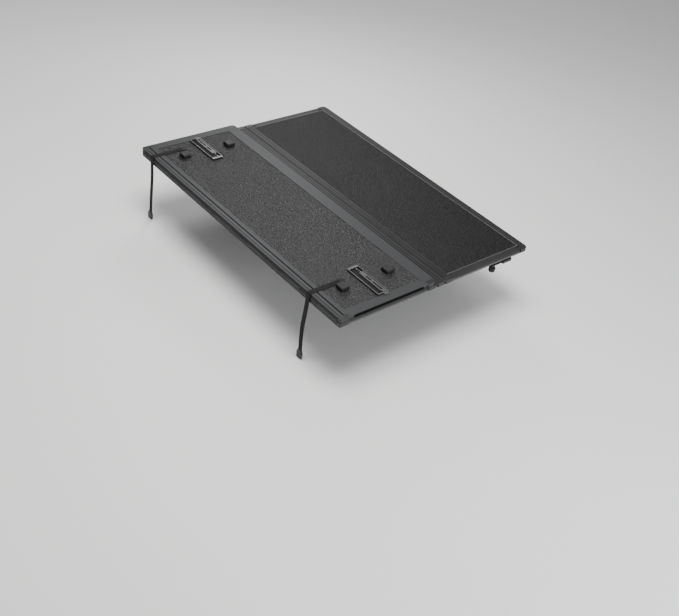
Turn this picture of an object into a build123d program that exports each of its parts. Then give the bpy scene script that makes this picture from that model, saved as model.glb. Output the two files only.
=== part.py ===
from build123d import *
import math
import os

# Hard tri-fold cover for a pickup bed, millimetres. Z = 0 is the plane of the truck's bed rails, Y points
# to the cab, X across the bed. The panels are drawn flat, and the rear one is then folded onto the middle one.

# ---- overall sizes
half_width = 820.0          # centre line to the widest line of the side frame
front_length = 579.0        # front panel, cab edge to hinge face
middle_length = 588.0       # middle panel, hinge face to rear edge
rear_length = 578.0         # rear panel, rear hinge to free end
frame_height = 22.0         # height of every frame profile
seal_height = 5.0           # compressed height of the seals under the frame
fold_gap = 2.0              # between the middle and rear panels when folded

# ---- frame profiles
bevel = 7.0                 # the side frame's top edge is this much narrower
lip = 1.6                   # lips that hold the panel sheets
wall = 2.0                  # wall of the hollow chamber
side_body = 22.0            # width of the side profile's chamber
side_lip_top = 14.0         # side profile's top lip, beyond its chamber
side_lip_bottom = 27.0      # side profile's bottom lip
cross_body = 26.0           # width of a cross profile's chamber
cross_lip_top = 14.0
hinge_lip_bottom = 32.0
free_lip_bottom = 41.0
cap_length = 50.0           # corner caps, along the side
cap_radius = 20.0           # plan radius of the corners at the cover's two ends
cap_hinge_radius = 6.0      # plan radius of the corners at the rear hinge
cap_small_radius = 3.0
cap_chamfer = 1.0
groove_width = 3.5          # accessory groove under the rear panel's hinge profile
groove_depth = 1.5
groove_inset = 30.0
score_width = 2.2           # fine grooves along the profiles beside the double hinge
score_depth = 0.8
front_scores = (9.0, 25.0)  # from the front panel's hinge face
link_scores = (13.0, 29.0)  # from the link's cab-side face
sheet_fit = 0.5             # between the sheets' edges and the chambers
skin_thickness = 1.0

# ---- double hinge between the front and middle panels
barrel_radius = 4.5
pin_radius = 2.45
pin_fit = 0.05
hinge_relief = 0.5          # beyond the barrel, to the profile's face
knuckles = 12
knuckle_gap = 0.6           # between neighbouring knuckles
bumper_height = 20.0
stack_rest_gap = 1.2        # bumpers to the front panel when all is folded
pin_short = 1.0             # pins end this far inside the profiles
strip_height = 9.0          # rubber strips on the link's faces
strip_depth = 3.2
strip_lift = 1.5            # above the link's underside
strip_rounding = 1.4

# ---- rear hinge
rear_barrel_radius = 4.0
rear_face_gap = 0.75        # from the rear hinge's axis to each panel's face
rear_relief = 0.5

# ---- seals
side_seal_width = 24.0
side_seal_inset = 8.0
seal_gap = 1.0              # between neighbouring seals' ends
seal_rounding = 0.35        # edge radius of a seal, as a share of its height
cab_seal_width = 40.0

# ---- bumpers
bumper_side = 48.0
bumper_x = 645.0
bumper_rows = (0.263, 0.737)         # along the rear panel, as shares of its length
bumper_radius = 6.0
bumper_rounding = 1.5

# ---- latches
latch_length = 225.0
latch_width = 64.0
latch_height = 9.0
latch_side_gap = 0.5        # latch tray to the side frame
latch_from_hinge = 290.0
tray_floor = 1.5
tray_wall = 4.5
tray_end_wall = 14.0        # at the end nearer the centre line
tray_radius = 5.0
tray_chamfer = 1.5
slide_width = 26.0
slide_thickness = 5.0
slide_lift = 1.0            # slide above the tray's floor
slide_side_room = 2.5       # slide to the tray's long wall, on the free end's side
slide_nose = 12.0           # slide standing out of the tray
slide_nose_bevel = 3.0
slide_window_fit = 0.4
slide_length = 185.0
slide_slot_width = 8.0
slide_slots = ((68.0, 66.0), (130.0, 38.0))    # centre from the slide's nose and length of each slot
latch_travel = 14.0
stud_radius = 3.5
stud_short = 1.0            # studs end this far inside the slide
pull_height = 4.0
pull_length = 14.0
pull_inset = 2.0            # narrower than the slide on each side
pull_rounding = 2.0
pull_from_nose = 24.0
spring_wire = 0.6
spring_radius = 2.6
spring_turns = 6

# ---- storage straps
strap_x = {"left": -712.0, "right": 600.0}
strap_width = 27.0
strap_thickness = 2.0
strap_lift = 0.3            # strap above the frame it crosses
strap_reach = 196.0         # from the rear edge to the strap's plate
strap_hang = 330.0          # hanging length to the buckle
strap_stand_off = 6.5       # rear face to the middle of the hanging strap
strap_joint_fit = 0.3
strap_plate_length = 24.0
strap_plate_thickness = 1.6
strap_plate_wider = 2.0     # beyond the strap on each side
strap_screw_radius = 4.0
strap_screw_head = 1.8
buckle_width = 40.0
buckle_length = 46.0
buckle_thickness = 11.0
buckle_radius = 5.0
buckle_rounding = 1.5

# ---- clamps at the cab end
clamp_x = 723.0             # centre of the clamp screw
clamp_from_cab = 110.0
clamp_width = 60.0
clamp_top_width = 70.0
clamp_foot_short = 12.0     # the foot is this much shorter than the top plate
clamp_plate = 6.0
clamp_depth = 95.0
rail_grip = 27.0            # rail lip between the seal plane and the jaw
jaw_thickness = 12.0
jaw_reach = 42.0            # jaw beyond the bracket's top plate
jaw_pad_length = 35.0
jaw_pad_height = 6.0
jaw_fit = 0.3
jaw_rounding = 3.0
screw_radius = 5.0
screw_fit = 0.05
screw_length = 125.0
knob_radius = 17.0
knob_height = 24.0
knob_scallops = 6
knob_scallop_radius = 6.0
knob_scallop_out = 3.0      # scallop centres beyond the knob's radius
foot_thickness = 6.0

# ---- places worked out from the sizes above
top = seal_height + frame_height
bottom = seal_height
skin_top = top - lip
skin_bottom = bottom + lip
cab_edge = cab_seal_width / 2
axis_depth = barrel_radius
hinge_z = top - axis_depth
hinge_face = barrel_radius + hinge_relief
link_spacing = 2 * axis_depth + fold_gap + frame_height + bumper_height - lip + stack_rest_gap
front_axis = cab_edge - front_length - hinge_face
middle_axis = front_axis - link_spacing
middle_start = middle_axis - hinge_face
rear_edge = middle_start - middle_length
rear_axis = rear_edge - rear_face_gap
rear_axis_z = top + fold_gap / 2
rear_start = rear_axis - rear_face_gap
rear_end = rear_start - rear_length
channel = half_width - side_body
pin_end = channel - pin_short
cut_over = 1.0              # cutters pass this far beyond a surface
fold_line = Axis((0, rear_axis, rear_axis_z), (1, 0, 0))


def block(x0, x1, y0, y1, z0, z1):
    """A box between two corners."""
    size = (abs(x1 - x0), abs(y1 - y0), abs(z1 - z0))
    return Pos((x0 + x1) / 2, (y0 + y1) / 2, (z0 + z1) / 2) * Box(*size)


def rod(radius, x0, x1, y, z):
    """A round bar along X."""
    return Pos((x0 + x1) / 2, y, z) * Rot(0, 90, 0) * Cylinder(radius, abs(x1 - x0))


def upright(radius, x, y, z0, z1):
    """A round bar along Z."""
    return Pos(x, y, (z0 + z1) / 2) * Cylinder(radius, abs(z1 - z0))


def mirrored(shape):
    """The same shape on the other side of the centre line."""
    return mirror(shape, about=Plane.YZ)


def folded(shape):
    """A piece of the rear panel, turned from flat to folded."""
    return shape.rotate(fold_line, -180)


def unmoved(shape):
    """A piece that stays as drawn."""
    return shape


def write(name, *shapes):
    """One file for each named piece, or for a group of like pieces."""
    solids = [solid for shape in shapes for solid in shape.solids()]
    export_step(solids[0] if len(solids) == 1 else Compound(children=solids), f"parts/{name}.step")


# ---- panels
def side_section(height_from, height_to, inner, outer_drop):
    """Outline of the bevelled side profile between two heights, as points of X and Z."""
    low_edge = half_width - bevel * (height_from - bottom) / frame_height - outer_drop
    high_edge = half_width - bevel * (height_to - bottom) / frame_height - outer_drop
    return [(inner, height_from), (low_edge, height_from), (high_edge, height_to), (inner, height_to)]


def along_y(points, y0, y1):
    """A prism of an X and Z outline, from y0 to y1."""
    face = make_face(Plane.XZ * Polyline(*points, close=True))
    return Pos(0, y1, 0) * extrude(face, y1 - y0, dir=(0, -1, 0))


def side_rail(low, high, lips_low, lips_high):
    """The side profile: a hollow chamber with two lips that hold the sheets."""
    rail = along_y(side_section(bottom, top, channel, 0), low, high)
    chamber = along_y(side_section(bottom + wall, top - wall, channel + wall, wall), low, high)
    rail -= chamber
    rail += block(channel - side_lip_top, channel, lips_low, lips_high, top - lip, top)
    rail += block(channel - side_lip_bottom, channel, lips_low, lips_high, bottom, bottom + lip)
    return rail


def corner_cap(low, high, round_at, radius):
    """A moulded end block with an upright outer face; its outer corner is rounded at round_at."""
    cap = block(channel, half_width, low, high, bottom, top)
    corner = Vector(half_width, round_at, (bottom + top) / 2)
    cap = fillet(cap.edges().filter_by(Axis.Z).sort_by_distance(corner)[0], radius)
    return chamfer(cap.faces().sort_by(Axis.Z)[-1].edges().sort_by(Axis.X)[-1], cap_chamfer)


def cross_rail(face, inward, lip_top, lip_bottom):
    """A cross profile from its outer face inward (+1 or -1 along Y), with its two lips."""
    body = face + inward * cross_body
    rail = block(-channel, channel, face, body, bottom, top)
    rail -= block(-channel, channel, face + inward * wall, body - inward * wall, bottom + wall, top - wall)
    rail += block(-channel, channel, body, body + inward * lip_top, top - lip, top)
    rail += block(-channel, channel, body, body + inward * lip_bottom, bottom, bottom + lip)
    return rail


def scored(rail, places):
    """Cuts fine grooves along a profile's top at the given places in Y."""
    for y in places:
        rail -= block(-channel, channel, y - score_width / 2, y + score_width / 2, top - score_depth, top)
    return rail


def knuckle_spans(first):
    """Spans along X of every second knuckle."""
    pitch = 2 * channel / knuckles
    starts = [-channel + pitch * k for k in range(first, knuckles, 2)]
    return [(start + knuckle_gap / 2, start + pitch - knuckle_gap / 2) for start in starts]


def barrels(rail, spans, y, z, radius, web=None):
    """Adds bored knuckles to a profile; web is the span in Y, below the axis, that joins them to it."""
    for x0, x1 in spans:
        rail += rod(radius, x0, x1, y, z)
        if web:
            rail += block(x0, x1, web[0], web[1], z - radius, z)
    for x0, x1 in spans:
        rail -= rod(pin_radius + pin_fit, x0 - cut_over, x1 + cut_over, y, z)
    return rail


def notched(rail, spans):
    """Clears the rear hinge's knuckles of the other panel from a profile."""
    notch_radius = rear_barrel_radius + rear_relief
    for x0, x1 in spans:
        rail -= rod(notch_radius, x0 - knuckle_gap, x1 + knuckle_gap, rear_axis, rear_axis_z)
    return rail


def sheets(low, high):
    """Top skin, core and bottom skin between the chambers."""
    edge = channel - sheet_fit
    low += cross_body + sheet_fit
    high -= cross_body + sheet_fit
    upper = block(-edge, edge, low, high, skin_top - skin_thickness, skin_top)
    core = block(-edge, edge, low, high, skin_bottom + skin_thickness, skin_top - skin_thickness)
    lower = block(-edge, edge, low, high, skin_bottom, skin_bottom + skin_thickness)
    return upper, core, lower


def panel(name, cab_side, tail_side, cab_lip, tail_lip, cab_radius, tail_radius, place, cab_rail, tail_rail):
    """Writes a panel's frame, caps and sheets."""
    lips_high = cab_side - cross_body - cab_lip
    lips_low = tail_side + cross_body + tail_lip
    rail = side_rail(tail_side + cap_length, cab_side - cap_length, lips_low, lips_high)
    write(f"{name}_side_rail_right", place(rail))
    write(f"{name}_side_rail_left", place(mirrored(rail)))
    write(f"{name}_cab_rail", place(cab_rail))
    write(f"{name}_tail_rail", place(tail_rail))
    cab_cap = corner_cap(cab_side - cap_length, cab_side, cab_side, cab_radius)
    tail_cap = corner_cap(tail_side, tail_side + cap_length, tail_side, tail_radius)
    caps = [cab_cap, tail_cap, mirrored(cab_cap), mirrored(tail_cap)]
    write(f"{name}_corner_caps", *[place(cap) for cap in caps])
    upper, core, lower = sheets(tail_side, cab_side)
    write(f"{name}_top_skin", place(upper))
    write(f"{name}_core", place(core))
    write(f"{name}_bottom_skin", place(lower))


def side_seals(low, high):
    """The pair of long seals under a panel's side frames."""
    outer = half_width - side_seal_inset
    seal = block(outer - side_seal_width, outer, low, high, 0, bottom)
    seal = fillet(seal.edges().filter_by(Axis.Y).group_by(Axis.Z)[0], seal_height * seal_rounding)
    return seal, mirrored(seal)


os.makedirs("parts", exist_ok=True)
even = knuckle_spans(0)
odd = knuckle_spans(1)
front_face = cab_edge - front_length

# front panel
front_cab_rail = cross_rail(cab_edge, -1, cross_lip_top, free_lip_bottom)
front_tail_rail = cross_rail(front_face, 1, cross_lip_top, hinge_lip_bottom)
front_tail_rail = scored(front_tail_rail, [front_face + place for place in front_scores])
front_tail_rail = barrels(front_tail_rail, even, front_axis, hinge_z, barrel_radius, (front_axis, front_face))
panel("front_panel", cab_edge, front_face, free_lip_bottom, hinge_lip_bottom, cap_radius, cap_small_radius,
      unmoved, front_cab_rail, front_tail_rail)
write("front_side_seals", *side_seals(front_face + seal_gap, cab_edge - cap_radius))
seal_edge = half_width - side_seal_inset - side_seal_width - seal_gap
cab_seal = block(-seal_edge, seal_edge, -cab_seal_width / 2, cab_seal_width / 2, 0, seal_height)
cab_seal = fillet(cab_seal.edges().filter_by(Axis.X).group_by(Axis.Z)[0], seal_height * seal_rounding)
write("cab_seal", cab_seal)

# link of the double hinge
link = block(-channel, channel, middle_axis + hinge_face, front_axis - hinge_face, bottom, top)
link -= block(-channel, channel, middle_axis + hinge_face + wall, front_axis - hinge_face - wall,
              bottom + wall, top - wall)
link = scored(link, [front_axis - hinge_face - place for place in link_scores])
link = barrels(link, odd, front_axis, hinge_z, barrel_radius, (front_axis - hinge_face, front_axis))
link = barrels(link, odd, middle_axis, hinge_z, barrel_radius, (middle_axis, middle_axis + hinge_face))
write("hinge_link", link)
link_cap = block(channel, half_width, middle_axis + hinge_face, front_axis - hinge_face, bottom, top)
link_cap = fillet(link_cap.edges().filter_by(Axis.Z).group_by(Axis.X)[-1], cap_small_radius)
write("link_end_caps", link_cap, mirrored(link_cap))
write("front_hinge_pin", rod(pin_radius, -pin_end, pin_end, front_axis, hinge_z))
write("middle_hinge_pin", rod(pin_radius, -pin_end, pin_end, middle_axis, hinge_z))
strip_low = bottom + strip_lift
strips = []
for face, way in ((front_axis - hinge_face, 1), (middle_axis + hinge_face, -1)):
    strip = block(-pin_end, pin_end, face, face + way * strip_depth, strip_low, strip_low + strip_height)
    outer_edges = strip.edges().filter_by(Axis.X).sort_by(Axis.Y)
    strips.append(fillet(outer_edges[-2:] if way > 0 else outer_edges[:2], strip_rounding))
write("link_seal_strips", *strips)

# middle panel
middle_cab_rail = cross_rail(middle_start, -1, cross_lip_top, hinge_lip_bottom)
middle_cab_rail = barrels(middle_cab_rail, even, middle_axis, hinge_z, barrel_radius,
                          (middle_start, middle_axis))
middle_tail_rail = cross_rail(rear_edge, 1, cross_lip_top, hinge_lip_bottom)
middle_tail_rail = notched(middle_tail_rail, odd)
middle_tail_rail = barrels(middle_tail_rail, even, rear_axis, rear_axis_z, rear_barrel_radius)
panel("middle_panel", middle_start, rear_edge, hinge_lip_bottom, hinge_lip_bottom,
      cap_small_radius, cap_hinge_radius, unmoved, middle_cab_rail, middle_tail_rail)
write("middle_side_seals", *side_seals(rear_edge + cap_radius, middle_start - seal_gap))

# rear panel
rear_cab_rail = cross_rail(rear_start, -1, cross_lip_top, hinge_lip_bottom)
rear_cab_rail -= block(-channel, channel, rear_start - groove_inset, rear_start - groove_inset - groove_width,
                       bottom, bottom + groove_depth)
rear_cab_rail = notched(rear_cab_rail, even)
rear_cab_rail = barrels(rear_cab_rail, odd, rear_axis, rear_axis_z, rear_barrel_radius)
rear_tail_rail = cross_rail(rear_end, 1, cross_lip_top, free_lip_bottom)
panel("rear_panel", rear_start, rear_end, hinge_lip_bottom, free_lip_bottom,
      cap_hinge_radius, cap_radius, folded, rear_cab_rail, rear_tail_rail)
write("rear_hinge_pin", rod(pin_radius, -pin_end, pin_end, rear_axis, rear_axis_z))

# bumpers bonded under the rear panel
bumpers = []
for x in (-bumper_x, bumper_x):
    for share in bumper_rows:
        y = rear_start - share * rear_length
        pad = block(x - bumper_side / 2, x + bumper_side / 2, y - bumper_side / 2, y + bumper_side / 2,
                    skin_bottom - bumper_height, skin_bottom)
        pad = fillet(pad.edges().filter_by(Axis.Z), bumper_radius)
        bumpers.append(folded(fillet(pad.faces().sort_by(Axis.Z)[0].edges(), bumper_rounding)))
write("rear_bumpers", *bumpers)

# slide latches under the rear panel, drawn on the right and mirrored
latch_y = rear_start - latch_from_hinge
latch_outer = channel - side_lip_bottom - latch_side_gap
latch_inner = latch_outer - latch_length
tray_low = skin_bottom - latch_height
tray = block(latch_inner, latch_outer, latch_y - latch_width / 2, latch_y + latch_width / 2,
             tray_low, skin_bottom)
tray = fillet(tray.edges().filter_by(Axis.Z), tray_radius)
tray = chamfer(tray.faces().sort_by(Axis.Z)[0].edges(), tray_chamfer)
spring_start = latch_inner + tray_end_wall
tray -= block(spring_start, latch_outer - tray_wall, latch_y - latch_width / 2 + tray_wall,
              latch_y + latch_width / 2 - tray_wall, tray_low, skin_bottom - tray_floor)
slide_y = latch_y - latch_width / 2 + tray_wall + slide_side_room + slide_width / 2
slide_top = skin_bottom - tray_floor - slide_lift
slide_low = slide_top - slide_thickness
window = slide_width / 2 + slide_window_fit
tray -= block(latch_outer - tray_wall - cut_over, latch_outer + cut_over, slide_y - window, slide_y + window,
              slide_low - slide_window_fit, slide_top + slide_window_fit)
nose = latch_outer + slide_nose
slide = block(nose - slide_length, nose, slide_y - slide_width / 2, slide_y + slide_width / 2,
              slide_low, slide_top)
slide = chamfer(slide.faces().sort_by(Axis.X)[-1].edges().sort_by(Axis.Z)[0], slide_nose_bevel)
studs = []
for place, length in slide_slots:
    slot = extrude(SlotOverall(length, slide_slot_width), slide_thickness + 2 * cut_over)
    slide -= Pos(nose - place, slide_y, slide_low - cut_over) * slot
    studs.append(upright(stud_radius, nose - place - latch_travel / 2, slide_y,
                         slide_low + stud_short, skin_bottom - tray_floor))
pull_x = nose - pull_from_nose
pull_half = slide_width / 2 - pull_inset
pull = block(pull_x - pull_length / 2, pull_x + pull_length / 2, slide_y - pull_half, slide_y + pull_half,
             slide_low - pull_height, slide_low)
slide += fillet(pull.faces().sort_by(Axis.Z)[0].edges().filter_by(Axis.Y), pull_rounding)
spring_length = nose - slide_length - spring_start
coil_z = (slide_top + slide_low) / 2
pitch = spring_length / spring_turns
coil = []
for k in range(spring_turns):
    ridge = spring_start + pitch * (k + 0.5)
    coil.append((ridge - pitch / 2, spring_radius - spring_wire))
    coil.append((ridge, spring_radius + spring_wire))
coil.append((spring_start + spring_length, spring_radius - spring_wire))
bore = spring_radius - 2 * spring_wire
outline = [(x, coil_z + r) for x, r in coil] + [(coil[-1][0], coil_z + bore), (coil[0][0], coil_z + bore)]
outline = Plane.XZ * make_face(Polyline(*outline, close=True))
spring = Pos(0, slide_y, 0) * revolve(outline, Axis((0, 0, coil_z), (1, 0, 0)))
for side, flip in (("right", unmoved), ("left", mirrored)):
    write(f"latch_tray_{side}", folded(flip(tray)))
    write(f"latch_slide_{side}", folded(flip(slide)))
    write(f"latch_spring_{side}", folded(flip(spring)))
write("latch_guide_studs", *[folded(flip(stud)) for stud in studs for flip in (unmoved, mirrored)])

# storage straps: fixed to the rear panel, over its edge, hanging with a buckle at the end
stack_top = rear_axis_z * 2 - bottom
strap_z = stack_top + strap_lift + strap_thickness / 2
strap_pivot = rear_edge - strap_stand_off
strap_end = rear_edge + strap_reach
strap_low = strap_z - strap_thickness / 2
strap_high = strap_z + strap_thickness / 2
tail_bottom = strap_z - strap_hang
foot_z = rear_axis_z * 2 - skin_bottom
plate_start = strap_end - strap_plate_length
plate_high = strap_high + strap_plate_thickness
plates = []
for side, x in strap_x.items():
    x0 = x - strap_width / 2
    x1 = x + strap_width / 2
    tail_near = strap_pivot - strap_thickness / 2
    tail_far = strap_pivot + strap_thickness / 2
    write(f"strap_top_{side}", block(x0, x1, tail_far + strap_joint_fit, strap_end, strap_low, strap_high))
    tail = block(x0, x1, tail_near, tail_far, tail_bottom, strap_z)
    tail += rod(strap_thickness / 2, x0, x1, strap_pivot, strap_z)
    write(f"strap_tail_{side}", tail)
    clip = block(x - buckle_width / 2, x + buckle_width / 2, strap_pivot - buckle_thickness / 2,
                 strap_pivot + buckle_thickness / 2, tail_bottom - buckle_length, tail_bottom)
    clip = fillet(clip.edges().filter_by(Axis.Y), buckle_radius)
    clip_faces = clip.faces().sort_by(Axis.Y)
    clip = fillet(clip_faces[0].edges() + clip_faces[-1].edges(), buckle_rounding)
    write(f"strap_buckle_{side}", clip)
    under = block(x0, x1, plate_start, strap_end, foot_z, strap_low)
    over = block(x0 - strap_plate_wider, x1 + strap_plate_wider, plate_start, strap_end, strap_high, plate_high)
    screw_y = (plate_start + strap_end) / 2
    over += upright(strap_screw_radius, x, screw_y, plate_high, plate_high + strap_screw_head)
    plates += [under, over]
write("strap_anchor_plates", *plates)

# clamps under the front panel, drawn on the right and mirrored
clamp_y = cab_edge - clamp_from_cab
y0 = clamp_y - clamp_width / 2
y1 = clamp_y + clamp_width / 2
inner = clamp_x - clamp_top_width / 2
outer = clamp_x + clamp_top_width / 2
plate_low = skin_bottom - clamp_plate
foot_top = -clamp_depth + foot_thickness
hole_radius = screw_radius + screw_fit
bracket = block(inner, outer, y0, y1, plate_low, skin_bottom)
bracket += block(inner, inner + clamp_plate, y0, y1, -clamp_depth, plate_low)
bracket += block(inner + clamp_plate, outer - clamp_foot_short, y0, y1, -clamp_depth, foot_top)
bracket -= upright(hole_radius, clamp_x, clamp_y, -clamp_depth - cut_over, foot_top + cut_over)
bracket -= upright(hole_radius, clamp_x, clamp_y, plate_low - cut_over, plate_low + clamp_plate / 2)
jaw_top = -rail_grip - jaw_pad_height
jaw_low = jaw_top - jaw_thickness
jaw_end = outer + jaw_reach
jaw = block(inner + clamp_plate + jaw_fit, jaw_end, y0, y1, jaw_low, jaw_top)
jaw += block(jaw_end - jaw_pad_length, jaw_end, y0, y1, jaw_top, -rail_grip)
jaw = fillet(jaw.edges().filter_by(Axis.Y).sort_by(Axis.X)[-2:], jaw_rounding)
jaw -= upright(hole_radius, clamp_x, clamp_y, jaw_low - cut_over, jaw_top + cut_over)
screw_top = plate_low + clamp_plate / 2 - screw_fit
screw_low = screw_top - screw_length
screw = upright(screw_radius, clamp_x, clamp_y, screw_low, screw_top)
knob = upright(knob_radius, clamp_x, clamp_y, screw_low - knob_height, screw_low)
for k in range(knob_scallops):
    turned = 2 * math.pi * k / knob_scallops
    scallop_x = clamp_x + (knob_radius + knob_scallop_out) * math.cos(turned)
    scallop_y = clamp_y + (knob_radius + knob_scallop_out) * math.sin(turned)
    knob -= upright(knob_scallop_radius, scallop_x, scallop_y, screw_low - knob_height, screw_low)
for side, flip in (("right", unmoved), ("left", mirrored)):
    write(f"clamp_bracket_{side}", flip(bracket))
    write(f"clamp_jaw_{side}", flip(jaw))
    write(f"clamp_screw_{side}", flip(screw))
    write(f"clamp_knob_{side}", flip(knob))
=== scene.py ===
import math
import random

import bmesh
import bpy
from mathutils import Matrix, Quaternion, Vector


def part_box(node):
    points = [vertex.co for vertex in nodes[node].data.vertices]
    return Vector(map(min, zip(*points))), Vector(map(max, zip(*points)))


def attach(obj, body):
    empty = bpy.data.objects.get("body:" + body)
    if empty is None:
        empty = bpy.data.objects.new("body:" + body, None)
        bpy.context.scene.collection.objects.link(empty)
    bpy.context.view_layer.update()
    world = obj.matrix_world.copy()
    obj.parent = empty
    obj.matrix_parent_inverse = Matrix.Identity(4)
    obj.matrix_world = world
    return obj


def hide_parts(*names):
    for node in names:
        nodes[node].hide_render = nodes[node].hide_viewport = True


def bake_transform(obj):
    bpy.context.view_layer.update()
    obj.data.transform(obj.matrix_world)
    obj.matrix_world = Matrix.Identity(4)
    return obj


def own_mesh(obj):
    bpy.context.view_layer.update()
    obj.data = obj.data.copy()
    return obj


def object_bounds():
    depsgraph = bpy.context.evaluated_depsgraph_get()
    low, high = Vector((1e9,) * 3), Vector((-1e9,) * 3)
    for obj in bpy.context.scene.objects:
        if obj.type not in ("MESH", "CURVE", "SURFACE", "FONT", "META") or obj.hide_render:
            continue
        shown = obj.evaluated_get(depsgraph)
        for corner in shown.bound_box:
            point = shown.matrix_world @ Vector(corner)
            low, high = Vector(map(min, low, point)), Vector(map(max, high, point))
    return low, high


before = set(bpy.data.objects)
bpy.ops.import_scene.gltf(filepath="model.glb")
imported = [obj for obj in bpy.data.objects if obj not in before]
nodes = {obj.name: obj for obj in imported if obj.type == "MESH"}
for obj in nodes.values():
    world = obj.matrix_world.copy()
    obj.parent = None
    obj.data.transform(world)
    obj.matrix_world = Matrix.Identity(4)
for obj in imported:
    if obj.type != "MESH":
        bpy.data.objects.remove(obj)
cad_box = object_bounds()


# ------------------------------------------------------------------------------------------------
# Studio: a pale floor just under the hanging buckles, soft lights from above and the sides, and the
# camera above the near rear corner of the cover.
floor_size = 60.0
floor_drop = 0.004
camera_place = (3.1776, -3.6352, 2.7016)
camera_aim = (0.7294, -1.1390, 0.0270)
camera_roll = math.radians(9.93)
camera_lens = 53.08
sky_tone = (0.94, 0.94, 0.95, 1.0)
sky_strength = 0.34


def added(name, data):
    """Puts new data into the scene as an object."""
    thing = bpy.data.objects.new(name, data)
    bpy.context.scene.collection.objects.link(thing)
    return thing


def facing(place, aim, roll=0.0):
    """Places and turns a lamp or camera so that it looks at a point."""
    turn = (Vector(aim) - Vector(place)).to_track_quat("-Z", "Y")
    return Matrix.Translation(place) @ (turn @ Quaternion((0, 0, 1), roll)).to_matrix().to_4x4()


def softbox(name, place, aim, width, height, power, tint=(1.0, 1.0, 1.0)):
    """A rectangular studio light."""
    lamp = bpy.data.lights.new(name, "AREA")
    lamp.shape = "RECTANGLE"
    lamp.size = width
    lamp.size_y = height
    lamp.energy = power
    lamp.color = tint
    box = added(name, lamp)
    box.matrix_world = facing(place, aim)
    box.visible_camera = False


class Field:
    """A value over a surface, so that a coat's formula is written with the usual operators."""

    def __init__(self, coat, socket):
        self.coat = coat
        self.socket = socket

    def maths(self, operation, *values):
        return self.coat.node("Math", {"operation": operation}, dict(enumerate(values)))

    def __add__(self, other):
        return self.maths("ADD", self, other)

    def __sub__(self, other):
        return self.maths("SUBTRACT", self, other)

    def __rsub__(self, other):
        return self.maths("SUBTRACT", other, self)

    def __mul__(self, other):
        return self.maths("MULTIPLY", self, other)

    __radd__ = __add__
    __rmul__ = __mul__

    def applied(self, operation, *more):
        return self.maths(operation, self, *more)

    def over(self, low, high):
        """0 below low, 1 above high, smooth between them."""
        return self.coat.node("MapRange", {"interpolation_type": "SMOOTHSTEP"},
                              {"Value": self, "From Min": low, "From Max": high})


class Coat:
    """One finish: a principled shader and the nodes that vary it."""

    def __init__(self, name, **fixed):
        self.material = bpy.data.materials.new(name)
        self.material.use_nodes = True
        self.tree = self.material.node_tree
        self.shader = self.tree.nodes["Principled BSDF"]
        for socket, value in fixed.items():
            self.feed(self.shader.inputs[socket.replace("_", " ")], value)
        self.place = self.node("TexCoord", {}, {}, "Object")

    def feed(self, socket, value):
        if isinstance(value, Field):
            self.tree.links.new(value.socket, socket)
        else:
            socket.default_value = value

    def node(self, kind, settings, values, output=0):
        """Adds a node: its settings first, then the values or links of its sockets."""
        made = self.tree.nodes.new("ShaderNode" + kind)
        for setting, value in settings.items():
            setattr(made, setting, value)
        for socket, value in values.items():
            self.feed(made.inputs[socket], value)
        return Field(self, made.outputs[output])

    def noise(self, scale, detail=2.0, rough=0.5, place=None):
        return self.node("TexNoise", {}, {"Vector": place or self.place, "Scale": scale, "Detail": detail,
                                          "Roughness": rough}, "Fac")

    def cells(self, scale, smooth=0.5):
        return self.node("TexVoronoi", {"feature": "SMOOTH_F1"}, {"Vector": self.place, "Scale": scale,
                                                                  "Smoothness": smooth}, "Distance")

    def stretched(self, x, y, z):
        return self.node("VectorMath", {"operation": "MULTIPLY"}, {0: self.place, 1: (x, y, z)})

    def axis(self, letter):
        return self.node("SeparateXYZ", {}, {"Vector": self.place}, letter)

    def mix(self, share, low, high):
        return self.node("Mix", {"data_type": "RGBA"}, {"Factor": share, 6: low, 7: high}, 2)

    def relief(self, height, depth, strength=1.0):
        return self.node("Bump", {}, {"Height": height, "Distance": depth, "Strength": strength})

    def finish(self, colour, roughness, normal=None, **more):
        self.feed(self.shader.inputs["Base Color"], colour)
        self.feed(self.shader.inputs["Roughness"], roughness)
        if normal:
            self.feed(self.shader.inputs["Normal"], normal)
        for socket, value in more.items():
            self.feed(self.shader.inputs[socket.replace("_", " ")], value)
        return self.material


def grey(value, warm=0.0):
    """A grey, a little warm or, below zero, a little blue."""
    return (value * (1 + warm), value, value * (1 - warm), 1.0)


paper = Coat("studio_floor")
floor_tone = paper.mix(paper.noise(0.6, 3), grey(0.80), grey(0.84))
paper.finish(floor_tone, paper.noise(30, 4) * 0.1 + 0.55, paper.relief(paper.noise(220, 4), 0.0002))
half_floor = floor_size / 2
floor_z = cad_box[0][2] - floor_drop
floor_mesh = bpy.data.meshes.new("studio_floor")
floor_corners = [(x, y, floor_z) for x, y in ((-half_floor, -half_floor), (half_floor, -half_floor),
                                              (half_floor, half_floor), (-half_floor, half_floor))]
floor_mesh.from_pydata(floor_corners, [], [(0, 1, 2, 3)])
floor_mesh.materials.append(paper.material)
added("studio_floor", floor_mesh)

sky = bpy.data.worlds.new("studio")
sky.use_nodes = True
sky.node_tree.nodes["Background"].inputs["Color"].default_value = sky_tone
sky.node_tree.nodes["Background"].inputs["Strength"].default_value = sky_strength
bpy.context.scene.world = sky
middle = (0.0, -0.6, 0.0)
softbox("overhead_light", (0.4, -1.4, 4.6), middle, 3.0, 2.4, 330, (1.0, 0.99, 0.97))
softbox("side_light", (4.6, -0.4, 1.0), middle, 2.4, 1.0, 120, (0.98, 0.99, 1.0))
softbox("far_light", (-2.07, 0.66, 1.64), (0.1, -0.95, 0.0), 1.0, 0.8, 30)

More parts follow.
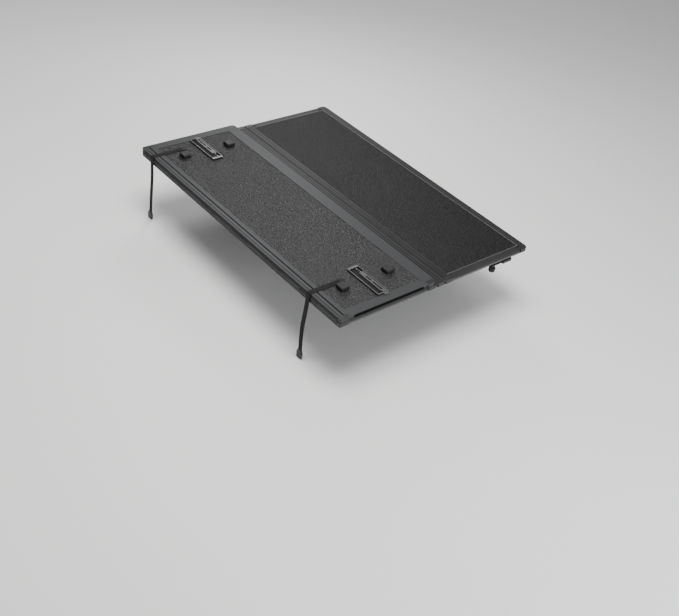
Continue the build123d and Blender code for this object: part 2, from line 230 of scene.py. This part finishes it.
lens = bpy.data.cameras.new("camera")
lens.lens = camera_lens
lens.sensor_width = 36.0
lens.clip_end = 200.0
camera = added("camera", lens)
camera.matrix_world = facing(camera_place, camera_aim, camera_roll)
bpy.context.scene.camera = camera


# ------------------------------------------------------------------------------------------------
# Frame profiles: aluminium extrusions, cut to length and powder coated satin black. The die leaves
# faint lines along their length; the coat has a fine orange peel. Their edges are rounded.
profile_edge = 0.0007
frame_black = 0.013
# a lighter blue-grey, used for scuffs and for the painted sheen on the rails
frame_scuff_and_sheen = 0.040
# a lighter grey painted on the lower part of the side rails, and the height it starts below: a painted
# highlight on their lower bevel
frame_low_highlight = 0.080
low_highlight_height = (0.0120, 0.0140)
# wear values lighten the profiles toward blue-grey: slight wear on the link and the front and middle
# panels, and on the rear panel mostly a painted sheen on its upturned rails
link_wear_and_sheen = 0.12
panel_wear_and_sheen = {"front_panel": 0.12, "middle_panel": 0.16, "rear_panel": 0.70}


def smoothed(mesh):
    """Shades every face of a mesh smooth."""
    mesh.polygons.foreach_set("use_smooth", [True] * len(mesh.polygons))


def softened(node, radius, segments=2):
    """Rounds a hard piece's edges as tooling leaves them, on top of its own faces."""
    thing = nodes[node]
    smoothed(thing.data)
    weld = thing.modifiers.new("joined_faces", "WELD")
    weld.merge_threshold = 2e-6
    plain = thing.modifiers.new("plain_faces", "DECIMATE")
    plain.decimate_type = "DISSOLVE"
    plain.angle_limit = math.radians(1.0)
    rounding = thing.modifiers.new("rounded_edges", "BEVEL")
    rounding.width = radius
    rounding.segments = segments
    rounding.limit_method = "ANGLE"
    rounding.angle_limit = math.radians(32.0)
    thing.modifiers.new("even_shading", "WEIGHTED_NORMAL").weight = 90
    return thing


def coated(thing, material):
    """Gives a CAD piece its finish."""
    thing.data.materials.clear()
    thing.data.materials.append(material)


def powder_coat(name, run, wear_and_sheen):
    """Satin black powder coat on an extrusion that runs along X or Y; scuffs grey it with handling, and the
    wear value mixes in a lighter blue-grey: slight wear at low values, a painted sheen at the rear panel's
    high value.
    """
    coat = Coat(name, Specular_IOR_Level=0.28)
    along = (4, 900, 900) if run == "X" else (900, 4, 900)
    die_lines = coat.noise(1.0, 2, 0.6, coat.stretched(*along))
    peel = coat.noise(620, 3, 0.55)
    clouds = coat.noise(9, 4, 0.6)
    scuffs = coat.noise(46, 5, 0.72).over(0.60, 0.74)
    colour = coat.mix(clouds.over(0.3, 0.7), grey(frame_black), grey(frame_black * 1.35))
    colour = coat.mix(scuffs * 0.35, colour, grey(frame_scuff_and_sheen, -0.02))
    # the wear value lightens the coat toward blue-grey: slight wear at low values, a painted sheen at the
    # rear panel's high value
    colour = coat.mix(clouds * 0.2 + (wear_and_sheen - 0.1), colour, grey(frame_scuff_and_sheen, -0.06))
    # the side rails are painted lighter below a given height: a painted highlight on their lower bevel
    if run == "Y":
        colour = coat.mix(1 - coat.axis("Z").over(*low_highlight_height), colour, grey(frame_low_highlight, -0.01))
    roughness = 0.47 + clouds * 0.10 + scuffs * 0.08 + die_lines * 0.05
    return coat.finish(colour, roughness, coat.relief(peel * 0.5 + die_lines * 0.5, 0.00012, 0.8))


for panel, wear_and_sheen in panel_wear_and_sheen.items():
    coat_across = powder_coat(f"{panel}_coat_across", "X", wear_and_sheen)
    coat_along = powder_coat(f"{panel}_coat_along", "Y", wear_and_sheen)
    for rail in ("cab_rail", "tail_rail"):
        coated(softened(f"{panel}_{rail}", profile_edge), coat_across)
    for rail in ("side_rail_left", "side_rail_right"):
        coated(softened(f"{panel}_{rail}", profile_edge), coat_along)
coated(softened("hinge_link", profile_edge), powder_coat("hinge_link_coat", "X", link_wear_and_sheen))


# ------------------------------------------------------------------------------------------------
# Corner caps and link end caps: injection-moulded black nylon, pushed into the open ends of the
# profiles, with a fine spark-eroded grain.
cap_edge = 0.0012
nylon = Coat("moulded_nylon", Specular_IOR_Level=0.34)
nylon_grain = nylon.noise(1500, 3, 0.6)
nylon_flow = nylon.noise(30, 3, 0.5)
nylon_tone = nylon.mix(nylon_flow.over(0.35, 0.7), grey(0.012), grey(0.019))
nylon.finish(nylon_tone, 0.36 + nylon_flow * 0.16, nylon.relief(nylon_grain, 0.00008))
for node in ("front_panel_corner_caps", "middle_panel_corner_caps", "rear_panel_corner_caps",
             "link_end_caps"):
    coated(softened(node, cap_edge, 3), nylon.material)


# ------------------------------------------------------------------------------------------------
# Panel sheets: aluminium sheet with a black pebble-textured coating on top and a finer one underneath,
# bonded to a foam core. The grain breaks up the light into a soft mottled sheen, and the colour adds
# painted highlights on the lumps, painted glints and patches of painted sheen.
sheet_edge = 0.0003


def pebbled(name, tone, sheen, grain_depth, pebbles_a_metre, rough):
    """Textured black coating: round pebbles and a broader orange peel whose raised lumps are painted
    lighter, painted glint specks and slow brighter patches of painted sheen.
    """
    coat = Coat(name, Specular_IOR_Level=sheen)
    pebbles = 1 - coat.cells(pebbles_a_metre, 0.35)
    lumps = coat.noise(105, 2, 0.60)
    clouds = coat.noise(2.6, 3, 0.55).over(0.30, 0.70)
    # bright specks painted into the colour: painted glints on the pebbles
    glint_specks = coat.noise(120, 2, 0.5).over(0.55, 0.64)
    # the raised lumps are painted lighter and the hollows darker: painted highlight and shade on the grain
    colour = coat.mix(lumps.over(0.42, 0.58), grey(tone * 0.35), grey(tone * 1.60))
    colour = coat.mix(glint_specks * 0.75, colour, grey(tone * 6.5))
    # slow brighter, warmer and glossier patches: a painted sheen
    colour = coat.mix(clouds * 0.3, colour, grey(tone * 2.2, 0.02))
    roughness = rough + lumps * 0.30 - clouds * 0.05
    height = pebbles * 0.45 + lumps * 0.55
    return coat.finish(colour, roughness, coat.relief(height, grain_depth, 1.0))


top_coat = pebbled("pebbled_top_coating", 0.005, 0.20, 0.0036, 300, 0.28)
under_coat = pebbled("pebbled_underside_coating", 0.011, 0.30, 0.0050, 260, 0.27)
for panel in panel_wear_and_sheen:
    coated(softened(f"{panel}_top_skin", sheet_edge), top_coat)
    coated(softened(f"{panel}_bottom_skin", sheet_edge), under_coat)
foam = Coat("foam_core")
foam_cells = foam.cells(900)
foam.finish(foam.mix(foam_cells, grey(0.62, 0.05), grey(0.80, 0.05)), 0.9, foam.relief(foam_cells, 0.0004))
for panel in panel_wear_and_sheen:
    coated(nodes[f"{panel}_core"], foam.material)


# ------------------------------------------------------------------------------------------------
# Seals: black sponge rubber extrusions pressed under the frames, with a lip on each side. The sponge
# is soft, so it bulges a little unevenly along its length.
seal_width = 0.024
seal_bulge = 0.0006
seal_ribs = 3
rib_depth = 0.0011
seal_sag = 0.0004
seal_step = 0.012
random.seed(4)


def lofted(name, rings, smooth_angle=40.0):
    """A closed skin through rings of points, flat at both ends."""
    around = len(rings[0])
    faces = [tuple(range(around))[::-1]]
    for ring in range(len(rings) - 1):
        low = ring * around
        for corner in range(around):
            after = (corner + 1) % around
            faces.append((low + corner, low + after, low + around + after, low + around + corner))
    last = (len(rings) - 1) * around
    faces.append(tuple(range(last, last + around)))
    mesh = bpy.data.meshes.new(name)
    mesh.from_pydata([point for ring in rings for point in ring], [], faces)
    work = bmesh.new()
    work.from_mesh(mesh)
    bmesh.ops.recalc_face_normals(work, faces=work.faces)
    work.to_mesh(mesh)
    work.free()
    smoothed(mesh)
    mesh.set_sharp_from_angle(angle=math.radians(smooth_angle))
    return added(name, mesh)


def fitted(piece, material, body, slot, *stands_for):
    """Gives a made piece its finish and its body, and lets it stand for CAD nodes."""
    piece.data.materials.clear()
    piece.data.materials.append(material)
    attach(piece, body)
    if stands_for:
        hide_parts(*stands_for)
    return piece


def joined(name, parts):
    """Several made pieces as one."""
    work = bmesh.new()
    for part in parts:
        work.from_mesh(part.data)
        bpy.data.objects.remove(part)
    mesh = bpy.data.meshes.new(name)
    work.to_mesh(mesh)
    work.free()
    return added(name, mesh)


def wandering(count, size):
    """A slow random drift, one value for each step."""
    knots = [random.uniform(-size, size) for _ in range(count // 6 + 3)]
    drift = []
    for step in range(count):
        knot, share = divmod(step / 6, 1)
        ease = share * share * (3 - 2 * share)
        drift.append(knots[int(knot)] * (1 - ease) + knots[int(knot) + 1] * ease)
    return drift


def sponge_strip(name, across, run, low, high, start, stop):
    """A flat sponge seal with ribs underneath; across is its span to either side of its run."""
    width = across[1] - across[0]
    outline = [(across[0], high), (across[1], high), (across[1] + seal_bulge, (low + high) / 2)]
    for step in range(seal_ribs * 8 + 1):
        share = 1 - step / (seal_ribs * 8)
        rib = abs(math.sin(math.pi * seal_ribs * share))
        outline.append((across[0] + width * (0.04 + 0.92 * share), low + rib_depth * (1 - rib)))
    outline.append((across[0] - seal_bulge, (low + high) / 2))
    count = int(abs(stop - start) / seal_step) + 2
    sag = wandering(count, seal_sag)
    bend = wandering(count, seal_sag)
    rings = []
    for step in range(count):
        place = start + (stop - start) * step / (count - 1)
        ring = []
        for a, z in outline:
            depth = (high - z) / (high - low)
            side = a + bend[step] * depth
            height = max(low, z + sag[step] * depth)
            ring.append((side, place, height) if run == "Y" else (place, side, height))
        rings.append(ring)
    return lofted(name, rings)


sponge = Coat("sponge_rubber", Specular_IOR_Level=0.15)
sponge_pores = sponge.noise(1300, 3, 0.7)
bloom = sponge.noise(24, 4, 0.6).over(0.45, 0.8)
sponge.finish(sponge.mix(bloom, grey(0.010), grey(0.022)), 0.74 + bloom * 0.12,
              sponge.relief(sponge_pores, 0.0002))
for node, body in (("front_side_seals", "front_panel"), ("middle_side_seals", "middle_panel")):
    low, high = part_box(node)
    inner = high[0] - seal_width
    sides = [sponge_strip(node, (inner, high[0]), "Y", low[2], high[2], low[1], high[1]),
             sponge_strip(node, (low[0], -inner), "Y", low[2], high[2], low[1], high[1])]
    fitted(joined(node.replace("seals", "sponges"), sides), sponge.material, body, "seal", node)
low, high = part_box("cab_seal")
cab_sponge = sponge_strip("cab_sponge", (low[1], high[1]), "X", low[2], high[2], low[0], high[0])
fitted(cab_sponge, sponge.material, "front_panel", "seal", "cab_seal")


# ------------------------------------------------------------------------------------------------
# Rubber strips: half-round extrusions that keep water out of the double hinge. Fine near-black strips along
# the profiles' grooves, and one along each side of the rear panel, are painted shade: dark pieces put in
# the grooves and in the shadow gap along the rear panel's sides.
link_strip_half = 0.0016
groove_shade_depth = 0.0004
groove_shade_half = (0.0017, 0.0006)
front_grooves = (0.009, 0.025)
link_grooves = (0.013, 0.029)
# each of the rear panel's groove shade strips: in from its edge, down from its top, half its width and
# height
rear_grooves = ((0.03175, groove_shade_depth, 0.0034, 0.0009), (0.0105, 0.0, 0.0012, 0.0005),
                (0.0, 0.0100, 0.0005, 0.0017))
side_shade_half = (0.0012, 0.0072)
side_shade_height = 0.0100
rear_cap_room = 0.030
strip_step = 0.03
strip_corners = 16
strip_squareness = 0.6
strip_drift = 0.08
channel_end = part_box("front_panel_cab_rail")[1][0]
# near-black and nearly without sheen: it serves the real hinge seals and the painted-shade strips
seal_and_shade_black = Coat("seal_and_shade_black", Specular_IOR_Level=0.06)
strip_dust = seal_and_shade_black.noise(90, 4, 0.65)
seal_and_shade_black.finish(seal_and_shade_black.mix(strip_dust.over(0.4, 0.7), grey(0.0015), grey(0.004)),
                    0.80 + strip_dust * 0.12, seal_and_shade_black.relief(strip_dust, 0.0001))


def round_strip(centre_y, centre_z, half_y, half_z, start, stop):
    """An extrusion along X with a rounded section and a slightly uneven run."""
    count = int(abs(stop - start) / strip_step) + 2
    drift = wandering(count, half_z * strip_drift)
    rings = []
    for step in range(count):
        x = start + (stop - start) * step / (count - 1)
        ring = []
        for corner in range(strip_corners):
            turn = 2 * math.pi * corner / strip_corners
            wide = math.copysign(abs(math.cos(turn)) ** strip_squareness, math.cos(turn))
            tall = math.copysign(abs(math.sin(turn)) ** strip_squareness, math.sin(turn))
            ring.append((x, centre_y + half_y * wide, centre_z + half_z * tall + drift[step]))
        rings.append(ring)
    return lofted("strip", rings, 60.0)


def turned_strip(x, z, half_x, half_z, start, stop):
    """The same extrusion, turned to run along Y."""
    strip = round_strip(0.0, 0.0, half_x, half_z, start, stop)
    strip.data.transform(Matrix.Translation((x, 0, z)) @ Matrix.Rotation(math.pi / 2, 4, "Z"))
    return strip


def groove_shade_strip(y, z, half_y, half_z):
    """A near-black strip as long as the profiles' grooves, put in a groove as painted shade."""
    return round_strip(y, z, half_y, half_z, -channel_end, channel_end)


low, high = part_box("link_seal_strips")
strip_z = (low[2] + high[2]) / 2
strip_half = (high[2] - low[2]) / 2
link_strips = [round_strip(y, strip_z, link_strip_half, strip_half, low[0], high[0])
               for y in (high[1] - link_strip_half, low[1] + link_strip_half)]
fitted(joined("link_rubber_strips", link_strips), seal_and_shade_black.material, "hinge_link", "seal",
       "link_seal_strips")
front_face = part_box("front_panel_corner_caps")[0][1]
frame_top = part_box("front_panel_corner_caps")[1][2]
link_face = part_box("link_end_caps")[1][1]
# painted shade in the grooves: near-black strips along the front panel's and the link's profiles
front_groove_shades = [groove_shade_strip(front_face + place, frame_top - groove_shade_depth, *groove_shade_half)
                 for place in front_grooves]
fitted(joined("front_groove_shade_strips", front_groove_shades), seal_and_shade_black.material, "front_panel", "seal")
link_groove_shades = [groove_shade_strip(link_face - place, frame_top - groove_shade_depth, *groove_shade_half)
                for place in link_grooves]
fitted(joined("link_groove_shade_strips", link_groove_shades), seal_and_shade_black.material, "hinge_link", "seal")
stack_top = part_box("rear_panel_corner_caps")[1][2]
rear_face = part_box("rear_panel_corner_caps")[0][1]
# painted shade along the rear panel's near edge and rear face
rear_groove_shades = [groove_shade_strip(rear_face + place, stack_top - depth, half_y, half_z)
                for place, depth, half_y, half_z in rear_grooves]
fitted(joined("rear_groove_shade_strips", rear_groove_shades), seal_and_shade_black.material, "rear_panel", "seal")
# painted shade: a near-black strip in the shadow gap along each side of the rear panel
side_low, side_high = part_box("rear_panel_side_rail_right")
side_gap_shades = [turned_strip(way * side_high[0], side_low[2] + side_shade_height, *side_shade_half,
                            side_low[1] + rear_cap_room, side_high[1] - rear_cap_room) for way in (-1, 1)]
fitted(joined("side_gap_shade_strips", side_gap_shades), seal_and_shade_black.material, "rear_panel", "seal")


# ------------------------------------------------------------------------------------------------
# Hinge plugs: small moulded nylon buttons with a rolled edge. They are pressed into the ends of the
# double hinge and close them between the end caps.
plug_radius = 0.0046
plug_gap = 0.0004
plug_sink = 0.0012
plug_profile = [(0.0, 0.6), (0.0, 1.0), (0.86, 1.0), (0.95, 0.93), (1.0, 0.78), (1.0, 0.45), (0.96, 0.38)]
front_pin, middle_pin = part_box("front_hinge_pin"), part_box("middle_hinge_pin")
hinge_height = (front_pin[0][2] + front_pin[1][2]) / 2
cap_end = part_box("link_end_caps")[1][0]
plugs = []
for pin_low, pin_high in (front_pin, middle_pin):
    hinge_y = (pin_low[1] + pin_high[1]) / 2
    for way in (-1, 1):
        rings = []
        for share, size in plug_profile:
            x = way * (channel_end + plug_gap + (cap_end - channel_end - plug_sink) * share)
            rings.append([(x, hinge_y + plug_radius * size * math.cos(math.pi * corner / 12),
                           hinge_height + plug_radius * size * math.sin(math.pi * corner / 12))
                          for corner in range(24)])
        plugs.append(lofted("plug", rings, 35.0))
fitted(joined("hinge_plugs", plugs), nylon.material, "hinge_link", "cap")


# ------------------------------------------------------------------------------------------------
# Edge bead: a thin light grey strip along the frame's lips round the front panel's sheet, on three sides.
# It is a painted highlight on the lips' inner edges.
bead_half = 0.0012
bead_height = 0.0007
bead_lift = 0.0003
side_lip = 0.014
near_lip = 0.0485
far_lip = 0.040
# light grey against the black frame: a painted highlight along the lips' edges
bead_highlight = Coat("painted_edge_highlight", Specular_IOR_Level=0.45)
bead_streaks = bead_highlight.noise(140, 4, 0.6)
bead_highlight.finish(bead_highlight.mix(bead_streaks, grey(0.10), grey(0.20)), 0.40 + bead_streaks * 0.16,
                   bead_highlight.relief(bead_streaks, 0.0003))
bead_left, bead_right = -channel_end + side_lip + bead_half, channel_end - side_lip - bead_half
bead_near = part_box("front_panel_tail_rail")[0][1] + near_lip
bead_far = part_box("front_panel_cab_rail")[1][1] - far_lip - bead_half
bead_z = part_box("front_panel_top_skin")[1][2] + bead_lift
beads = [round_strip(bead_far, bead_z, bead_half, bead_height, bead_left, bead_right)]
for bead_x in (bead_left, bead_right):
    beads.append(turned_strip(bead_x, bead_z, bead_half, bead_height, bead_near, bead_far))
fitted(joined("edge_highlight_bead", beads), bead_highlight.material, "front_panel", "seal")


# ------------------------------------------------------------------------------------------------
# Bumpers: four moulded rubber blocks that carry the folded stack. They have draft, a rolled top edge,
# a dished top and a fine parting line.
bumper_half = 0.024
bumper_corner = 0.0065
bumper_trim = 0.0003
profile_height = 0.020
bumper_profile = [(0.0, 0.0), (0.0, 0.0095), (-0.0003, 0.0098), (0.0001, 0.0101), (-0.0003, 0.0104),
                  (0.0006, 0.0170), (0.0009, 0.0185), (0.0017, 0.0194), (0.0030, 0.0199), (0.0046, 0.0200),
                  (0.0062, 0.0197), (0.0120, 0.0195), (0.0200, 0.01945)]
block_rubber = Coat("moulded_rubber", Specular_IOR_Level=0.35)
rubber_grain = block_rubber.noise(900, 3, 0.6)
rubber_bloom = block_rubber.noise(60, 4, 0.6).over(0.4, 0.75)
block_rubber.finish(block_rubber.mix(rubber_bloom, grey(0.010), grey(0.019)), 0.55 + rubber_bloom * 0.16,
                    block_rubber.relief(rubber_grain, 0.00012))


def rounded_square(x, y, z, half, corner):
    """A ring of points round a square with rounded corners."""
    ring = []
    for quarter in range(4):
        turn = math.pi / 2 * quarter
        centre = Vector((half - corner, half - corner))
        for step in range(7):
            bend = math.pi / 2 * step / 6
            point = centre + corner * Vector((math.cos(bend), math.sin(bend)))
            ring.append((x + point.x * math.cos(turn) - point.y * math.sin(turn),
                         y + point.x * math.sin(turn) + point.y * math.cos(turn), z))
    return ring


def moulded_bumper(x, y, base, height):
    """One block: rings of the profile's inset and level, from the base to the dish in its top."""
    rings = [rounded_square(x, y, base + level * height / profile_height, bumper_half - inset - bumper_trim,
                            max(0.0008, bumper_corner - inset * 0.35)) for inset, level in bumper_profile]
    return lofted("bumper", rings, 55.0)


low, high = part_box("rear_bumpers")
bumper_places = [(x, y) for x in (low[0] + bumper_half, high[0] - bumper_half)
                 for y in (low[1] + bumper_half, high[1] - bumper_half)]
blocks = [moulded_bumper(x, y, low[2], high[2] - low[2]) for x, y in bumper_places]
fitted(joined("moulded_bumpers", blocks), block_rubber.material, "rear_panel", "bumper", "rear_bumpers")


# ------------------------------------------------------------------------------------------------
# Steel: hinge pins and clamp screws, zinc plated. The screws have a coarse rolled thread; the pins
# have drawn lines.
thread_pitch = 0.005
screw_at = (0.723, -0.09)
zinc = Coat("zinc_plated_steel", Metallic=1.0)
drawn = zinc.noise(1.0, 2, 0.6, zinc.stretched(30, 1500, 1500))
zinc.finish(zinc.mix(drawn, grey(0.42), grey(0.60, 0.02)), 0.26 + drawn * 0.16, zinc.relief(drawn, 0.00003))
for node in ("front_hinge_pin", "middle_hinge_pin", "rear_hinge_pin"):
    coated(nodes[node], zinc.material)
thread = Coat("rolled_thread", Metallic=1.0)
from_axis_x = thread.axis("X").applied("ABSOLUTE") - screw_at[0]
from_axis_y = thread.axis("Y") - screw_at[1]
around = from_axis_y.applied("ARCTAN2", from_axis_x)
# along the helix the thread's roots are painted dark and its crests light: painted shade in the roots and a
# painted highlight on the crests
wave = (thread.axis("Z") * (2 * math.pi / thread_pitch) + around).applied("SINE")
grime = thread.noise(300, 4, 0.6)
thread.finish(thread.mix(wave.over(-1.0, 1.0), grey(0.16), grey(0.46, 0.02)), 0.32 + grime * 0.2,
              thread.relief(wave, 0.0012))
for side in ("left", "right"):
    coated(nodes[f"clamp_screw_{side}"], thread.material)


# ------------------------------------------------------------------------------------------------
# Slide latches: a shallow pressed tray in grey powder coat, and a dark slide that runs in it on two
# pins. A fine coil spring behind the slide pushes it out.
rim_height = (0.0560, 0.0575)
coil_turns = 9
coil_wire = 0.0006
coil_radius = 0.0024
tray_edge = 0.0006
slide_edge = 0.0005
stud_edge = 0.0004
tray_coat = Coat("grey_tray_coat", Metallic=0.2, Specular_IOR_Level=0.45)
tray_peel = tray_coat.noise(700, 3, 0.55)
tray_rub = tray_coat.noise(70, 5, 0.7).over(0.5, 0.72)
# below the rim's top the tray is painted near-black and matte: painted shade on its walls and in its recess
tray_rim = tray_coat.axis("Z").over(*rim_height)
tray_tone = tray_coat.mix(tray_rub, grey(0.095, -0.02), grey(0.150, -0.02))
tray_tone = tray_coat.mix(tray_rim, grey(0.003), tray_tone)
tray_coat.finish(tray_tone, 0.80 - tray_rim * 0.46 + tray_rub * 0.14, tray_coat.relief(tray_peel, 0.0001))
cast_coat = Coat("dark_cast_coat", Metallic=0.2, Specular_IOR_Level=0.45)
cast_skin = cast_coat.noise(420, 4, 0.65)
cast_coat.finish(cast_coat.mix(cast_skin.over(0.35, 0.7), grey(0.055), grey(0.090)), 0.34 + cast_skin * 0.2,
                 cast_coat.relief(cast_skin, 0.00015))
black_zinc = Coat("black_zinc", Metallic=0.85)
tarnish = black_zinc.noise(400, 3, 0.6)
black_zinc.finish(black_zinc.mix(tarnish, grey(0.012), grey(0.03)), 0.34 + tarnish * 0.14,
                  black_zinc.relief(tarnish, 0.00004))
coated(softened("latch_guide_studs", stud_edge), black_zinc.material)
for side, way in (("left", -1), ("right", 1)):
    coated(softened(f"latch_tray_{side}", tray_edge), tray_coat.material)
    coated(softened(f"latch_slide_{side}", slide_edge), cast_coat.material)
    low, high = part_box(f"latch_spring_{side}")
    middle_y, middle_z = (low[1] + high[1]) / 2, (low[2] + high[2]) / 2
    wire = bpy.data.curves.new(f"latch_coil_{side}", "CURVE")
    wire.dimensions = "3D"
    wire.bevel_depth = coil_wire
    wire.bevel_resolution = 2
    line = wire.splines.new("POLY")
    line.points.add(coil_turns * 20)
    for step, point in enumerate(line.points):
        share = step / (coil_turns * 20)
        bend = 2 * math.pi * coil_turns * share
        x = low[0] + coil_wire + (high[0] - low[0] - 2 * coil_wire) * share
        point.co = (x, middle_y + coil_radius * math.cos(bend),
                    middle_z + coil_radius * math.sin(bend), 1.0)
    drawn_wire = added("wire", wire)
    coil_mesh = bpy.data.meshes.new_from_object(drawn_wire)
    bpy.data.objects.remove(drawn_wire)
    smoothed(coil_mesh)
    coil = fitted(added(f"latch_coil_{side}", coil_mesh), zinc.material, "rear_panel", "steel",
                  f"latch_spring_{side}")
    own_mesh(coil)


# ------------------------------------------------------------------------------------------------
# Storage straps: woven black webbing, screwed to the rear panel, laid over its frame and rear edge
# and hanging freely, with a moulded side-release buckle at the end.
webbing_width = 0.027
webbing_thick = 0.0017
webbing_section = ((-1, 0.35), (-0.93, 1.0), (0.93, 1.0), (1, 0.35),
                   (1, -0.35), (0.93, -1.0), (-0.93, -1.0), (-1, -0.35))
rib_pitch = 0.0030
weft_pitch = 0.0022
bend_radius = 0.0055
edge_room = 0.004
strap_sag = 0.0012
tail_wave = 0.0016
tail_sway = 0.006
lie_steps, bend_steps, tail_steps = 40, 12, 60
plate_edge = 0.0006
webbing = Coat("woven_webbing", Specular_IOR_Level=0.25)
along_strap = webbing.axis("Y") + webbing.axis("Z")
rib = (along_strap * (2 * math.pi / rib_pitch)).applied("SINE")
weft = (webbing.axis("X") * (2 * math.pi / weft_pitch) + rib * 0.9).applied("SINE")
fuzz = webbing.noise(700, 4, 0.7)
weave = rib * 0.5 + weft * 0.5
webbing.finish(webbing.mix(weave.over(-0.9, 0.9), grey(0.004), grey(0.014)), 0.70 + fuzz * 0.16,
               webbing.relief(weave * 0.8 + fuzz * 0.4, 0.0006))
buckle_plastic = Coat("buckle_plastic", Specular_IOR_Level=0.45)
buckle_grain = buckle_plastic.noise(1400, 3, 0.6)
buckle_plastic.finish(buckle_plastic.mix(buckle_plastic.noise(50, 3), grey(0.008), grey(0.014)),
                      0.36 + buckle_grain * 0.1, buckle_plastic.relief(buckle_grain, 0.00006))


def ribbon(name, middle_x, route, sway):
    """Webbing along a route in Y and Z, with thin woven edges; sway shifts it sideways along the way."""
    rings = []
    half = webbing_width / 2
    for step, (y, z) in enumerate(route):
        before = Vector(route[max(0, step - 1)])
        after = Vector(route[min(len(route) - 1, step + 1)])
        run = (after - before).normalized()
        up = Vector((-run.y, run.x)) * (webbing_thick / 2)
        rings.append([(middle_x + sway[step] + half * across, y + up.x * thick, z + up.y * thick)
                      for across, thick in webbing_section])
    return lofted(name, rings, 50.0)


for side in ("left", "right"):
    top_low, top_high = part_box(f"strap_top_{side}")
    tail_low, tail_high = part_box(f"strap_tail_{side}")
    strap_x = (top_low[0] + top_high[0]) / 2
    lie_z = (top_low[2] + top_high[2]) / 2
    hang_y = (tail_low[1] + tail_high[1]) / 2
    edge_y = rear_face + edge_room
    route = []
    for step in range(lie_steps + 1):
        share = step / lie_steps
        y = top_high[1] + (edge_y - top_high[1]) * share
        route.append((y, lie_z - strap_sag * math.sin(math.pi * min(1.0, share * 1.18))))
    for step in range(1, bend_steps + 1):
        bend = math.pi / 2 * step / bend_steps
        overhang = (edge_y - hang_y - bend_radius) * (1 - step / bend_steps)
        route.append((hang_y + bend_radius - bend_radius * math.sin(bend) + overhang,
                      lie_z - bend_radius * (1 - math.cos(bend))))
    for step in range(1, tail_steps + 1):
        share = step / tail_steps
        route.append((hang_y + tail_wave * math.sin(math.pi * 2.2 * share),
                      lie_z - bend_radius + (tail_low[2] - lie_z + bend_radius - edge_room) * share))
    way = 1 if side == "left" else -1
    sway = [0.0] * (lie_steps + 1 + bend_steps)
    for step in range(1, tail_steps + 1):
        sway.append(tail_sway * math.sin(math.pi * 0.9 * step / tail_steps) ** 2 * way)
    strap = ribbon(f"webbing_{side}", strap_x, route, sway)
    strap.data.materials.append(webbing.material)
    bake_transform(strap)
    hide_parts(f"strap_top_{side}", f"strap_tail_{side}")
coated(softened("strap_anchor_plates", plate_edge), black_zinc.material)


buckle_outline = [(-0.55, 0.0), (0.55, 0.0), (0.72, 0.06), (0.74, 0.24), (1.0, 0.34), (0.98, 0.52),
                  (0.82, 0.60), (0.92, 0.70), (0.94, 0.92), (0.80, 1.0), (-0.80, 1.0), (-0.94, 0.92),
                  (-0.92, 0.70), (-0.82, 0.60), (-0.98, 0.52), (-1.0, 0.34), (-0.74, 0.24), (-0.72, 0.06)]
buckle_layers = ((-0.5, 0.90), (-0.42, 0.97), (-0.2, 1.0), (0.2, 1.0), (0.42, 0.97), (0.5, 0.90))
grip_ribs = (0.70, 0.77, 0.84, 0.91)
grip_depth, grip_width = 0.0007, 0.0009
buckle_sharp = math.radians(32)


def buckle(name, x, y, top, half_wide, long, thick):
    """A side-release buckle's closed outline with rounded edges, and grip ribs on both faces."""
    body = []
    for depth, inset in buckle_layers:
        body.append([(x + half_wide * across * inset, y + thick * depth,
                      top - long * (0.5 + (down - 0.5) * inset)) for across, down in buckle_outline])
    parts = [lofted("body", body, 30.0)]
    for face in (-1, 1):
        for rib_place in grip_ribs:
            ridge = []
            for across in (-0.5, -0.25, 0.0, 0.25, 0.5):
                ring = []
                for corner in range(8):
                    turn = 2 * math.pi * corner / 8
                    ring.append((x + half_wide * across,
                                 y + face * thick * 0.49 + grip_depth * math.cos(turn),
                                 top - long * rib_place + grip_width * math.sin(turn)))
                ridge.append(ring)
            parts.append(lofted("rib", ridge, 60.0))
    return joined(name, parts)


for side in ("left", "right"):
    low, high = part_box(f"strap_buckle_{side}")
    made = buckle(f"release_buckle_{side}", (low[0] + high[0]) / 2, (low[1] + high[1]) / 2, high[2],
                  (high[0] - low[0]) / 2, high[2] - low[2], high[1] - low[1] - 2 * grip_depth)
    smoothed(made.data)
    made.data.set_sharp_from_angle(angle=buckle_sharp)
    fitted(made, buckle_plastic.material, f"{side}_strap_tail", "buckle", f"strap_buckle_{side}")


# ------------------------------------------------------------------------------------------------
# Clamps: bent brackets and jaws in black anodised aluminium under the cab end. Each jaw is drawn up
# by a screw with a moulded nylon knob.
clamp_edge = 0.0008
knob_edge = 0.0012
anodised = Coat("black_anodised_aluminium", Metallic=0.9)
anodised_lines = anodised.noise(1.0, 3, 0.6, anodised.stretched(700, 8, 700))
anodised.finish(anodised.mix(anodised_lines, grey(0.045), grey(0.075, -0.01)), 0.36 + anodised_lines * 0.2,
                anodised.relief(anodised_lines, 0.00004))
for side in ("left", "right"):
    coated(softened(f"clamp_bracket_{side}", clamp_edge), anodised.material)
    coated(softened(f"clamp_jaw_{side}", clamp_edge), anodised.material)
    coated(softened(f"clamp_knob_{side}", knob_edge, 3), nylon.material)
